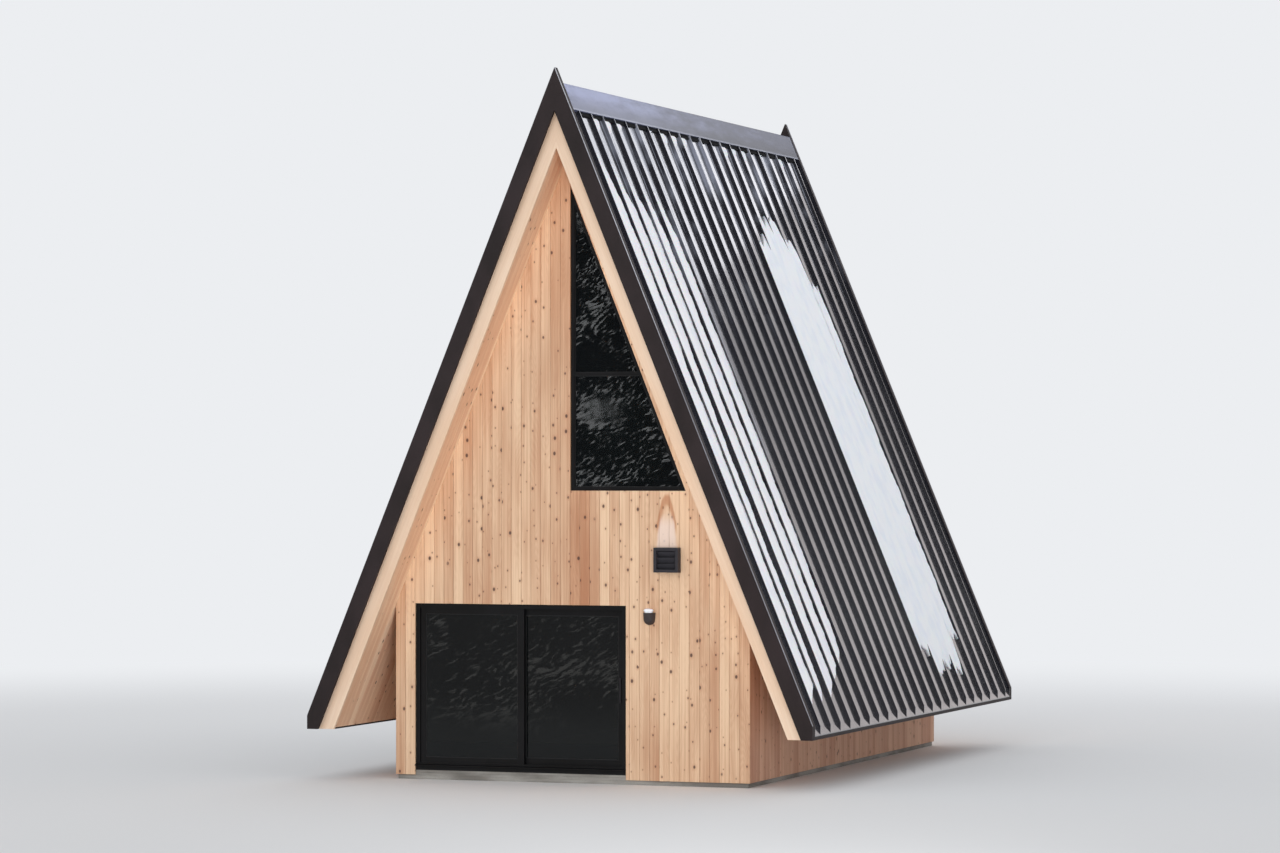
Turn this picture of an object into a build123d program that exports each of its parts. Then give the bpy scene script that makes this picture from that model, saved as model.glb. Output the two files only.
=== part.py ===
from build123d import *
import os
from math import cos, radians, sin, tan

# A-frame cabin: a steep gable whose standing-seam roof runs almost to the ground over a timber house clad in
# boards. X is to the right across the front, Y runs from the front to the back, and Z is up. The origin is on
# the ground, in the middle of the footprint. Depths in the roof are measured square to the slope, from the
# outer face of the rake.

# Roof form
PITCH = 67.5             # degrees from level, so the two slopes meet at 45 degrees
APEX_Z = 9150.0          # outer tip of the rake over the ground
EAVE_Z = 660.0           # level underside of the eaves
EAVE_FACE = 185.0        # height of their plumb end
SEAM_PITCH = 427.0       # one metal pan
FULL_PANS = 21           # whole pans along each slope
EDGE_PAN = 225.0         # cut pan beside each rake

# Roof layers, square to the slope
UPSTAND = 50.0           # rake stands this far over the pans
PAN_T = 4.0              # metal pan, thicker than the real sheet
DECK_T = 316.0           # rafters, insulation and sheathing as one closed panel
LINING_T = 20.0          # boards under the rafters: soffit outside, ceiling inside
RAKE_BOX = 200.0         # metal box along the rake
RAKE_LIP = 10.0          # drip lip under the box
TRIM_T = 22.0            # folded closer round the eave
SEAM_H = 42.0
SEAM_STEM = 6.0
SEAM_HEAD_W = 16.0
SEAM_HEAD_H = 9.0

# Rake, along the house
BOX_PROUD = 70.0         # metal box in front of the timber board
RAKE_BOARD_T = 45.0
BOX_EDGE = 8.0           # eased outer edge of the box
LIP_T = 3.0

# Ridge cap
CAP_T = 4.0
CAP_LEG = 360.0          # down each slope from the edge of the blunt top
CAP_HALF_FLAT = 75.0     # blunt top
NOTCH_GAP = 2.0          # round each seam in the closure
RIDGE_GAP = 10.0         # air under the cap's top

# Walls and floors
WALL_FACE = 570.0        # outer face of the gable wall behind the rake
KNEE_DROP = 26.0         # top of the side walls' face under the level of the door opening's head
CLADDING_T = 25.0
CORE_T = 175.0           # stud wall with its inner lining
PLINTH_H = 120.0
CLADDING_Z = 60.0        # lower edge of the boards
FLOOR_T = 80.0
LOFT_Z = 2800.0          # top of the upper floor
LOFT_T = 200.0

# Glazed door
DOOR_PIER_W = 270.0      # wall between its left corner and the opening
DOOR_W = 2923.0
DOOR_HEAD = 2290.0       # top of the opening over the ground
SETBACK = 30.0           # frames behind the boards' face
DOOR_FRAME_FACE = 60.0
DOOR_FRAME_DEPTH = 140.0
LEAF_FACE = 90.0
LEAF_T = 45.0
OUTER_TRACK = 18.0       # frame's outer lip, in front of the fixed leaf
LEAF_GAP = 14.0          # between the two leaves
CHANNEL = 15.0           # how deep the frame holds the leaves
CLEAR = 6.0              # running clearance round the sliding leaf
RAIL_H = 8.0
RAIL_W = 6.0
ROLLER_R = 18.0
ROLLER_SEAT = 0.3        # roller over the rail
SILL_NOSE = 12.0         # threshold in front of the boards
GLASS_T = 24.0
HANDLE_L = 320.0
HANDLE_W = 18.0
HANDLE_T = 12.0
HANDLE_EDGE = 4.0        # rounded edges of the bar
HANDLE_POST_R = 6.0
HANDLE_INSET = 54.0      # middle of the bar from the leaf's edge
HANDLE_OFF = 38.0        # bar in front of the stile
HANDLE_Z = 1000.0        # middle of the bar over the floor
HANDLE_STOP = 30.0       # what is left between handle and fixed leaf, fully open
STOP_H = 45.0

# Gable window, a right triangle with its upright side on the middle of the house
WINDOW_SILL = 3760.0     # over the ground
WINDOW_TIP_GAP = 443.0   # wall over its tip, upright
WINDOW_SIDE_GAP = 238.5  # wall beside its lower corner, level
TRANSOM_UP = 1495.0      # middle of the transom over the sill
WINDOW_FACE = 50.0
WINDOW_DEPTH = 80.0
BAR_FACE = 45.0

# Lower window of the back
BACK_WINDOW_W = 1200.0
BACK_WINDOW_H = 1000.0

# Fittings on the front
VENT_X = 1340.0
VENT_Z = 2880.0
VENT_W = 330.0
VENT_H = 315.0
VENT_OUT = 110.0
VENT_RIM = 38.0
VENT_WALL = 6.0
BLADES = 3
BLADE_W = 77.0
BLADE_TILT = 50.0        # degrees
LAMP_SIDE = 322.0        # middle of the lamp from the door opening
LAMP_TOP = 2205.0
LAMP_R = 82.0
LAMP_H = 158.0
LAMP_TAPER = 5.0         # narrower at the foot of the straight side
LAMP_BOWL = 74.0         # height of the rounded lower part
LAMP_WALL = 6.0          # rim round the lens
LAMP_RECESS = 8.0        # lens under the rim

ANGLE = radians(PITCH)
LENGTH = 2 * (BOX_PROUD + RAKE_BOARD_T + EDGE_PAN) + FULL_PANS * SEAM_PITCH
FRONT_Y = -LENGTH / 2
RAKE_T = BOX_PROUD + RAKE_BOARD_T
ROOF_T = UPSTAND + PAN_T + DECK_T + LINING_T
FAR = 2 * APEX_Z         # longer than anything that is cut to fit


def roof_z(depth, x=0.0):
    """Height of the plane at this depth in the roof, over x on the right slope."""
    return APEX_Z - depth / cos(ANGLE) - x * tan(ANGLE)


def roof_x(depth, z):
    """Where the plane at this depth in the roof reaches the height z."""
    return (APEX_Z - depth / cos(ANGLE) - z) / tan(ANGLE)


EAVE_X = roof_x(0, EAVE_Z + EAVE_FACE)
HALF_WIDTH = roof_x(ROOF_T, DOOR_HEAD - KNEE_DROP)
CORE_FRONT = FRONT_Y + WALL_FACE + CLADDING_T
CORE_BACK = CORE_FRONT + CORE_T
CORE_OUT = HALF_WIDTH - CLADDING_T
CORE_IN = CORE_OUT - CORE_T
FLOOR_Z = PLINTH_H + FLOOR_T
DOOR_LEFT = DOOR_PIER_W - HALF_WIDTH
DOOR_RIGHT = DOOR_LEFT + DOOR_W
WINDOW_W = roof_x(ROOF_T, WINDOW_SILL) - WINDOW_SIDE_GAP
WINDOW_TOP = roof_z(ROOF_T) - WINDOW_TIP_GAP
CAP_FLAT_Z = roof_z(UPSTAND - SEAM_H, CAP_HALF_FLAT)
RIDGE_CUT = CAP_FLAT_Z - RIDGE_GAP


def on_slope(run, depth):
    """Point of the right slope's section, run down it from the apex and depth under its outer face."""
    return run * cos(ANGLE) - depth * sin(ANGLE), APEX_Z - run * sin(ANGLE) - depth * cos(ANGLE)


def outline(*points):
    return make_face(Polyline(*points, close=True))


def box_face(x0, x1, z0, z1):
    return Pos((x0 + x1) / 2, (z0 + z1) / 2) * Rectangle(x1 - x0, z1 - z0)


def along(face, y0, y1):
    """Runs an outline drawn in X and Z along the house, from y0 to y1."""
    cross = Plane(origin=(0, y0, 0), x_dir=(1, 0, 0), z_dir=(0, -1, 0))
    return extrude(cross * face, amount=-(y1 - y0))


def across(face, x0, x1):
    """Runs an outline drawn in Y and Z across the house, from x0 to x1."""
    side = Plane(origin=(x0, 0, 0), x_dir=(0, 1, 0), z_dir=(1, 0, 0))
    return extrude(side * face, amount=x1 - x0)


def left_of(solid):
    return mirror(solid, about=Plane.YZ)


def back_of(solid):
    return mirror(solid, about=Plane.XZ)


def roof_band(outer, inner, inset=0.0, top=APEX_Z):
    """Outline of the right slope between two depths, plumb at the ridge, and plumb and level at the eave."""
    slope = outline((0, roof_z(outer)), (FAR, roof_z(outer, FAR)),
                    (FAR, roof_z(inner, FAR)), (0, roof_z(inner)))
    return slope & box_face(0, EAVE_X - inset, EAVE_Z + inset, top)


def under_roof(face):
    """Cuts an outline to what lies under the boards of the roof."""
    return face & outline((0, roof_z(ROOF_T)), (FAR, roof_z(ROOF_T, FAR)), (-FAR, roof_z(ROOF_T, FAR)))


def down_slope(profile):
    """Runs a profile, drawn along Y and out of the slope, down the whole right slope."""
    slope = Plane(origin=(0, 0, APEX_Z), x_dir=(0, 1, 0), z_dir=(cos(ANGLE), 0, -sin(ANGLE)))
    return extrude(slope * profile, amount=FAR)


def slope_limits(top):
    return along(box_face(0, EAVE_X, EAVE_Z, top), -FAR, FAR)


def save(name, *solids):
    shape = solids[0] if len(solids) == 1 else Compound(children=list(solids))
    export_step(shape, f"parts/{name}.step")


def one(shape):
    """The single solid that a cut or a join leaves."""
    return shape.solids()[0] if len(shape.solids()) == 1 else shape


os.makedirs("parts", exist_ok=True)

# Ground and floors
foundation = along(box_face(-CORE_OUT, CORE_OUT, 0, PLINTH_H), CORE_FRONT, -CORE_FRONT)
save("foundation", foundation)
ground_floor = along(box_face(-CORE_IN, CORE_IN, PLINTH_H, FLOOR_Z), CORE_BACK, -CORE_BACK)
save("ground_floor", ground_floor)
loft_face = under_roof(box_face(-CORE_IN, CORE_IN, LOFT_Z - LOFT_T, LOFT_Z))
save("loft_floor", along(loft_face, CORE_BACK, -CORE_BACK))

# Side walls: a core between the gable walls, and boards that run down over the plinth's edge
side_wall = along(under_roof(box_face(CORE_IN, CORE_OUT, PLINTH_H, APEX_Z)), CORE_BACK, -CORE_BACK)
save("side_wall_right", side_wall)
save("side_wall_left", left_of(side_wall))
side_boards = under_roof(box_face(CORE_OUT, HALF_WIDTH, CLADDING_Z, APEX_Z))
side_boards = along(side_boards, CORE_FRONT, -CORE_FRONT)
save("side_cladding", side_boards, left_of(side_boards))


# Gable walls: the core is in plain panels that meet at the openings, and the boards are one sheet with the
# openings cut in it
def gable_panel(x0, x1, z0, z1):
    return under_roof(box_face(x0, x1, z0, z1))


window_hole = outline((0, WINDOW_SILL), (WINDOW_W, WINDOW_SILL), (0, WINDOW_TOP))
over_door = {
    "gable_left": gable_panel(-CORE_OUT, 0, DOOR_HEAD, APEX_Z),
    "gable_right": gable_panel(0, CORE_OUT, DOOR_HEAD, WINDOW_SILL),
    "gable_top": gable_panel(0, CORE_OUT, WINDOW_SILL, APEX_Z) - window_hole,
}
front_panels = {
    "left": gable_panel(-CORE_OUT, DOOR_LEFT, PLINTH_H, DOOR_HEAD),
    "right": gable_panel(DOOR_RIGHT, CORE_OUT, PLINTH_H, DOOR_HEAD),
    **over_door,
}
back_window_z = DOOR_HEAD - BACK_WINDOW_H
back_panels = {
    "left": gable_panel(-CORE_OUT, 0, PLINTH_H, DOOR_HEAD),
    "sill": gable_panel(0, BACK_WINDOW_W, PLINTH_H, back_window_z),
    "right": gable_panel(BACK_WINDOW_W, CORE_OUT, PLINTH_H, DOOR_HEAD),
    **over_door,
}
for name, face in front_panels.items():
    save(f"front_wall_{name}", along(face, CORE_FRONT, CORE_BACK))
for name, face in back_panels.items():
    save(f"back_wall_{name}", back_of(along(face, CORE_FRONT, CORE_BACK)))

whole_gable = gable_panel(-HALF_WIDTH, HALF_WIDTH, CLADDING_Z, APEX_Z) - window_hole
door_hole = box_face(DOOR_LEFT, DOOR_RIGHT, 0, DOOR_HEAD)
back_window_hole = box_face(0, BACK_WINDOW_W, back_window_z, DOOR_HEAD)
boards_front = CORE_FRONT - CLADDING_T
save("front_cladding", along(whole_gable - door_hole, boards_front, CORE_FRONT))
save("back_cladding", back_of(along(whole_gable - back_window_hole, boards_front, CORE_FRONT)))

# Roof: closed panel and lining boards on each slope, with the eave's folded closer round their lower end
deck_d0 = UPSTAND + PAN_T
deck_d1 = deck_d0 + DECK_T
roof_y0 = FRONT_Y + RAKE_T
deck = along(roof_band(deck_d0, deck_d1, TRIM_T, RIDGE_CUT), roof_y0, -roof_y0)
lining = along(roof_band(deck_d1, ROOF_T, TRIM_T), roof_y0, -roof_y0)
closer = along(roof_band(deck_d0, ROOF_T) - roof_band(deck_d0, ROOF_T, TRIM_T), roof_y0, -roof_y0)
for name, solid in {"roof_panel": deck, "roof_lining": lining}.items():
    save(f"{name}_right", solid)
    save(f"{name}_left", left_of(solid))
save("eave_closers", closer, left_of(closer))

# Standing-seam sheets: flat pans, a turned-up leg at each rake, and seams with a folded head
seam_ys = [roof_y0 + EDGE_PAN + SEAM_PITCH * i for i in range(FULL_PANS + 1)]


def seam(y, grow=0.0):
    """Section of one seam, or of the room that it needs."""
    foot, head = -UPSTAND, SEAM_H - UPSTAND
    stem = box_face(y - SEAM_STEM / 2 - grow, y + SEAM_STEM / 2 + grow, foot - PAN_T / 2, head)
    fold_y = y - SEAM_STEM / 2
    fold = box_face(fold_y - grow, fold_y + SEAM_HEAD_W + grow, head - SEAM_HEAD_H - grow, head)
    return stem + fold


pans = box_face(roof_y0, -roof_y0, -deck_d0, -UPSTAND)
for y in (roof_y0, -roof_y0 - PAN_T):
    pans += box_face(y, y + PAN_T, -UPSTAND - PAN_T / 2, SEAM_H - UPSTAND)
for y in seam_ys:
    pans += seam(y)
sheet = one(down_slope(pans) & slope_limits(RIDGE_CUT))
save("roof_sheet_right", sheet)
save("roof_sheet_left", left_of(sheet))

# Ridge cap: two legs and a blunt top on the seams' heads, with a closure down to the pans that is notched
# round each seam
cap_d1 = UPSTAND - SEAM_H
cap_d0 = cap_d1 - CAP_T
cap_end = (CAP_HALF_FLAT + cap_d1 * sin(ANGLE)) / cos(ANGLE) + CAP_LEG
leg = outline(on_slope(0, cap_d0), on_slope(cap_end, cap_d0), on_slope(cap_end, cap_d1), on_slope(0, cap_d1))
leg &= box_face(0, FAR, 0, CAP_FLAT_Z + CAP_T)
flat = box_face(0, roof_x(cap_d0, CAP_FLAT_Z), CAP_FLAT_Z, CAP_FLAT_Z + CAP_T)
cap_half = along(leg + flat, roof_y0, -roof_y0)
closure = outline(on_slope(cap_end - CAP_T, cap_d0), on_slope(cap_end, cap_d0),
                  on_slope(cap_end, UPSTAND), on_slope(cap_end - CAP_T, UPSTAND))
notches = Sketch() + [seam(y, NOTCH_GAP) for y in seam_ys]
for y in (roof_y0, -roof_y0 - PAN_T):
    notches += box_face(y - NOTCH_GAP, y + PAN_T + NOTCH_GAP, -UPSTAND, SEAM_H - UPSTAND)
cap_half += along(closure, roof_y0, -roof_y0) - down_slope(notches)
save("ridge_cap", one(cap_half + left_of(cap_half)))

# Rakes: a folded metal box with an eased edge and a drip lip, over a timber board set back under it
box_y1 = FRONT_Y + RAKE_T
box_section = outline((FRONT_Y + BOX_EDGE, 0), (box_y1, 0), (box_y1, -RAKE_BOX),
                      (FRONT_Y + LIP_T, -RAKE_BOX), (FRONT_Y + LIP_T, -RAKE_BOX - RAKE_LIP),
                      (FRONT_Y, -RAKE_BOX - RAKE_LIP), (FRONT_Y, -BOX_EDGE))
rake_box = one(down_slope(box_section) & slope_limits(APEX_Z))
rake_board = along(roof_band(RAKE_BOX, ROOF_T), FRONT_Y + BOX_PROUD, box_y1)
for name, solid in {"rake_box": rake_box, "rake_board": rake_board}.items():
    save(f"{name}_right", solid, back_of(solid))
    save(f"{name}_left", left_of(solid), back_of(left_of(solid)))

# Door frame: the outline of the head, jambs and threshold has a channel for each leaf
frame_y = boards_front + SETBACK
fixed_y0 = frame_y + OUTER_TRACK
fixed_y1 = fixed_y0 + LEAF_T
slide_y0 = fixed_y1 + LEAF_GAP
slide_y1 = slide_y0 + LEAF_T
frame_y1 = frame_y + DOOR_FRAME_DEPTH
slide_channel = (slide_y0 - CLEAR, slide_y1 + CLEAR)
jamb_left = DOOR_LEFT + DOOR_FRAME_FACE
jamb_right = DOOR_RIGHT - DOOR_FRAME_FACE
head_z = DOOR_HEAD - DOOR_FRAME_FACE


def channels(low, high):
    return (box_face(fixed_y0, fixed_y1, low, high) + box_face(*slide_channel, low, high))


head_section = box_face(frame_y, frame_y1, head_z, DOOR_HEAD) - channels(head_z, head_z + CHANNEL)
save("door_head", across(head_section, DOOR_LEFT, DOOR_RIGHT))

track_top = FLOOR_Z + CHANNEL + RAIL_H
nose_y = boards_front - SILL_NOSE
sill_section = outline((nose_y, FLOOR_Z - SILL_NOSE), (nose_y, FLOOR_Z - 2 * SILL_NOSE),
                       (CORE_FRONT, FLOOR_Z - 2 * SILL_NOSE), (CORE_FRONT, PLINTH_H), (CORE_BACK, PLINTH_H),
                       (CORE_BACK, FLOOR_Z), (frame_y1, FLOOR_Z), (frame_y1, track_top),
                       (frame_y, track_top), (frame_y, FLOOR_Z))
rail_y = (slide_y0 + slide_y1) / 2
sill_section -= channels(FLOOR_Z, track_top)
sill_section += box_face(rail_y - RAIL_W / 2, rail_y + RAIL_W / 2, FLOOR_Z - RAIL_H, FLOOR_Z + RAIL_H)
save("door_threshold", across(sill_section, DOOR_LEFT, DOOR_RIGHT))


def jamb(x0, x1, channel_x0):
    """One jamb between the threshold's upstand and the head, with both channels cut in its inner side."""
    post = Pos((x0 + x1) / 2, (frame_y + frame_y1) / 2) * Rectangle(x1 - x0, DOOR_FRAME_DEPTH)
    for y0, y1 in ((fixed_y0, fixed_y1), slide_channel):
        post -= Pos(channel_x0 + CHANNEL / 2, (y0 + y1) / 2) * Rectangle(CHANNEL, y1 - y0)
    return extrude(Pos(0, 0, track_top) * post, amount=head_z - track_top)


save("door_jambs", jamb(DOOR_LEFT, jamb_left, jamb_left - CHANNEL), jamb(jamb_right, DOOR_RIGHT, jamb_right))

# Door leaves: the fixed one sits in the outer channel on the left, and the sliding one runs behind it
middle = (jamb_left + jamb_right) / 2
fixed_x = (jamb_left - CHANNEL, middle + LEAF_FACE / 2)
slide_x = (middle - LEAF_FACE / 2, jamb_right + CHANNEL - CLEAR)
slide_bottom = FLOOR_Z + RAIL_H + CLEAR
slide_top = head_z + CHANNEL - CLEAR


def leaf(x0, x1, z0, z1, y0):
    """A leaf's frame and the glass that fills it."""
    edge = box_face(x0, x1, z0, z1)
    light = box_face(x0 + LEAF_FACE, x1 - LEAF_FACE, z0 + LEAF_FACE, z1 - LEAF_FACE)
    pane_y = y0 + (LEAF_T - GLASS_T) / 2
    return along(edge - light, y0, y0 + LEAF_T), along(light, pane_y, pane_y + GLASS_T)


fixed_frame, fixed_glass = leaf(*fixed_x, FLOOR_Z, head_z + CHANNEL, fixed_y0)
save("fixed_door_frame", fixed_frame)
save("fixed_door_glass", fixed_glass)
slide_frame, slide_glass = leaf(*slide_x, slide_bottom, slide_top, slide_y0)
roller_z = FLOOR_Z + RAIL_H + ROLLER_SEAT + ROLLER_R
for x in (slide_x[0] + 2 * LEAF_FACE, slide_x[1] - 2 * LEAF_FACE):
    slide_frame += Pos(x, rail_y, roller_z) * Rot(90, 0, 0) * Cylinder(ROLLER_R, RAIL_W)
save("sliding_door_frame", one(slide_frame))
save("sliding_door_glass", slide_glass)

# Handle on both faces of the closing stile
handle_x = slide_x[1] - HANDLE_INSET


def handle(face_y, out):
    """A bar on two posts. out is -1 outdoors and 1 indoors."""
    reach = HANDLE_OFF - HANDLE_T / 2
    post = Rot(90, 0, 0) * Cylinder(HANDLE_POST_R, reach)
    bar = Pos(handle_x, face_y + out * reach, FLOOR_Z + HANDLE_Z) * Box(HANDLE_W, HANDLE_T, HANDLE_L)
    bar = fillet(bar.edges().filter_by(Axis.Z), HANDLE_EDGE)
    for side in (-1, 1):
        post_z = FLOOR_Z + HANDLE_Z + side * (HANDLE_L / 2 - HANDLE_W)
        bar += Pos(handle_x, face_y + out * reach / 2, post_z) * post
    return one(bar)


save("sliding_door_handles", handle(slide_y0, -1), handle(slide_y1, 1))

# Rubber stop on the rail at the far end, which keeps the handle off the fixed leaf
travel = handle_x - HANDLE_W / 2 - fixed_x[1] - HANDLE_STOP
stop_x = slide_x[0] - travel - CLEAR
stop_face = box_face(jamb_left - CHANNEL, stop_x, FLOOR_Z + RAIL_H, FLOOR_Z + RAIL_H + STOP_H)
save("door_stop", along(stop_face, slide_y0, slide_y1))

# Gable windows: a mitred triangular frame with one transom, and two panes
window_y = boards_front + SETBACK
pane_y0 = window_y + (WINDOW_DEPTH - GLASS_T) / 2


def glazed(hole, bar=None):
    """Frame and panes that fill an opening in the front wall."""
    light = offset(hole, amount=-WINDOW_FACE, kind=Kind.INTERSECTION)
    if bar:
        light = light - bar
    panes = along(light, pane_y0, pane_y0 + GLASS_T)
    return one(along(hole - light, window_y, window_y + WINDOW_DEPTH)), panes.solids()


transom_z = WINDOW_SILL + TRANSOM_UP
transom = box_face(0, WINDOW_W, transom_z - BAR_FACE / 2, transom_z + BAR_FACE / 2)
window_frame, window_panes = glazed(window_hole, transom)
save("front_window_frame", window_frame)
save("front_window_glass", *window_panes)
save("back_window_frame", back_of(window_frame))
save("back_window_glass", *[back_of(pane) for pane in window_panes])
low_frame, low_panes = glazed(back_window_hole)
save("back_lower_window_frame", back_of(low_frame))
save("back_lower_window_glass", *[back_of(pane) for pane in low_panes])

# Vent hood: a square metal sleeve with a rim, a closed back and sloping blades
vent_y = boards_front - VENT_OUT
outer = box_face(VENT_X - VENT_W / 2, VENT_X + VENT_W / 2, VENT_Z - VENT_H / 2, VENT_Z + VENT_H / 2)
hood = along(outer, vent_y, boards_front)
hood -= along(offset(outer, amount=-VENT_RIM, kind=Kind.INTERSECTION), vent_y, boards_front - VENT_WALL)
blade_l = VENT_W - 2 * VENT_RIM
blade_step = (VENT_H - 2 * VENT_RIM) / BLADES
for i in range(BLADES):
    blade_z = VENT_Z - VENT_H / 2 + VENT_RIM + blade_step * (i + 0.5)
    blade = Pos(VENT_X, vent_y + VENT_OUT / 2, blade_z) * Rot(-BLADE_TILT, 0, 0)
    hood += blade * Box(blade_l, BLADE_W, VENT_WALL)
save("vent_hood", one(hood))

# Wall lamp: a half-round cup with a flat back on the boards, and a rim round its lens
lamp_x = DOOR_RIGHT + LAMP_SIDE
lamp_foot = LAMP_TOP - LAMP_H
bowl_top = (LAMP_R - LAMP_TAPER, lamp_foot + LAMP_BOWL)
lamp_side = Polyline((0, LAMP_TOP - LAMP_RECESS), (LAMP_R - LAMP_WALL, LAMP_TOP - LAMP_RECESS),
                     (LAMP_R - LAMP_WALL, LAMP_TOP), (LAMP_R, LAMP_TOP), bowl_top)
lamp_bowl = TangentArc(bowl_top, (0, lamp_foot), tangent=lamp_side % 1)
lamp_axis = Line((0, lamp_foot), (0, LAMP_TOP - LAMP_RECESS))
lamp_face = make_face(lamp_side + lamp_bowl + lamp_axis)
cup = revolve(Plane(origin=(lamp_x, boards_front, 0), x_dir=(1, 0, 0), z_dir=(0, -1, 0)) * lamp_face,
              axis=Axis((lamp_x, boards_front, 0), (0, 0, 1)), revolution_arc=360)
save("wall_lamp", one(cup & along(box_face(-FAR, FAR, 0, FAR), -FAR, boards_front)))
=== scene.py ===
import math

import bpy
from mathutils import Matrix, Vector


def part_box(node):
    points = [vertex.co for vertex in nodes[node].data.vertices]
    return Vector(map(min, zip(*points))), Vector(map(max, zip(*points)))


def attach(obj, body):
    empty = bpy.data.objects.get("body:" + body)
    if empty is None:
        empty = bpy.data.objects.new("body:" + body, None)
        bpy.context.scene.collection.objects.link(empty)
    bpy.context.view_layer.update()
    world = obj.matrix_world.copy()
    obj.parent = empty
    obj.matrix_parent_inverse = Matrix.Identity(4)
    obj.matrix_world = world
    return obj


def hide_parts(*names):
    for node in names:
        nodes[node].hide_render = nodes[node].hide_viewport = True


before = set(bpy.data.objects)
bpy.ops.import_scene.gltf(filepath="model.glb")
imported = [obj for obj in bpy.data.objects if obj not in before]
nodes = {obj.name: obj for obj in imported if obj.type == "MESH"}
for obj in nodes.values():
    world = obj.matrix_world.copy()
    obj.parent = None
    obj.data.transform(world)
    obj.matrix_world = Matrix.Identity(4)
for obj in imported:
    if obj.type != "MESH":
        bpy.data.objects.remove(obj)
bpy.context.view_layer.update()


# The foundation is one slab of concrete under the whole house. It was poured between boards, whose edges left
# faint level lines in it, and it is paler where it has dried and darker where it stays damp near the ground.
class Value:
    """A socket of a material, so that what is worked out from it is written as plain maths."""

    def __init__(self, recipe, socket):
        self.recipe, self.socket = recipe, socket

    def maths(self, operation, *values):
        return self.recipe.node("ShaderNodeMath", {"operation": operation}, dict(enumerate(values)))

    def __add__(self, other):
        return self.maths("ADD", self, other)

    def __sub__(self, other):
        return self.maths("SUBTRACT", self, other)

    def __rsub__(self, other):
        return self.maths("SUBTRACT", other, self)

    def __mul__(self, other):
        return self.maths("MULTIPLY", self, other)

    def __truediv__(self, other):
        return self.maths("DIVIDE", self, other)

    __radd__, __rmul__ = __add__, __mul__

    def floor(self):
        return self.maths("FLOOR", self)

    def size(self):
        return self.maths("ABSOLUTE", self)

    def wave(self):
        return self.maths("SINE", self)

    def most(self, other):
        return self.maths("MAXIMUM", self, other)

    def rise(self, low, high):
        """0 below low and 1 above high, with a soft step between them. It falls where low is the larger."""
        ends = {"Value": self, "From Min": low, "From Max": high}
        return self.recipe.node("ShaderNodeMapRange", {"interpolation_type": "SMOOTHSTEP"}, ends)


class Recipe:
    """The nodes of a material or of the world."""

    def __init__(self, tree):
        self.tree = tree

    def node(self, kind, settings, inputs, output=0):
        made = self.tree.nodes.new(kind)
        for name, setting in settings.items():
            setattr(made, name, setting)
        for name, value in inputs.items():
            if isinstance(value, Value):
                self.tree.links.new(value.socket, made.inputs[name])
            else:
                made.inputs[name].default_value = value
        return Value(self, made.outputs[output])

    def noise(self, x, y, z, detail=3.0, rough=0.5):
        """Clouds of values round 0.5, about one cloud to a unit."""
        at = self.node("ShaderNodeCombineXYZ", {}, {"X": x, "Y": y, "Z": z})
        return self.node("ShaderNodeTexNoise", {}, {
            "Vector": at, "Scale": 1.0, "Detail": detail, "Roughness": rough})

    def mix(self, first, second, share):
        return self.node("ShaderNodeMix", {"data_type": "RGBA"}, {0: share, 6: first, 7: second}, 2)

    def dim(self, colour, share):
        return self.node("ShaderNodeVectorMath", {"operation": "SCALE"}, {0: colour, "Scale": share})


class Finish(Recipe):
    """The finish of a piece, from the place of each point on it."""

    def __init__(self, name, **numbers):
        self.material = bpy.data.materials.new(name)
        self.material.use_nodes = True
        super().__init__(self.material.node_tree)
        self.shader = self.tree.nodes["Principled BSDF"]
        for socket, number in numbers.items():
            self.shader.inputs[socket.replace("_", " ")].default_value = number
        where = self.node("ShaderNodeTexCoord", {}, {}, "Object")
        self.x, self.y, self.z = [
            self.node("ShaderNodeSeparateXYZ", {}, {"Vector": where}, axis) for axis in "XYZ"]

    def feed(self, socket, value):
        self.tree.links.new(value.socket, self.shader.inputs[socket])

    def grain(self, scale, *detail):
        """Clouds of this many to a metre, alike all ways."""
        return self.noise(self.x * scale, self.y * scale, self.z * scale, *detail)

    def relief(self, height, depth):
        """Small relief: a height of 1 stands this far out of the surface, in metres."""
        self.feed("Normal", self.node("ShaderNodeBump", {}, {"Height": height, "Distance": depth}))


def paint(red, green, blue):
    """A colour as it is seen, from 0 to 255, in the shader's own light values."""
    return (*[((part / 255 + 0.055) / 1.055) ** 2.4 for part in (red, green, blue)], 1.0)


def dress(finish, *names):
    """Gives the CAD nodes of these names their finish."""
    for name in names:
        for held in nodes[name].material_slots:
            held.material = finish.material


FORM_BOARD = 0.04
concrete = Finish("cast_concrete", Roughness=0.9)
damp = concrete.noise(concrete.x * 1.5, concrete.y * 1.5, concrete.z * 6)
grit = concrete.grain(90)
edge = (concrete.z * (2 * math.pi / FORM_BOARD)).wave().rise(0.9, 1.0)
tone = concrete.mix(paint(158, 155, 149), paint(118, 114, 108), damp.rise(0.35, 0.7))
concrete.feed("Base Color", concrete.dim(tone, 0.85 + grit * 0.3 - edge * 0.15))
concrete.relief(grit * 0.5 - edge, 0.002)
dress(concrete, "foundation")


# The floors are spruce boards on joists. They are laid along the house with tight joints, sanded and oiled,
# and both show only through the glass.
RESIN = paint(184, 124, 90)      # the wood round a knot
KNOT = paint(88, 58, 46)


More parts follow.
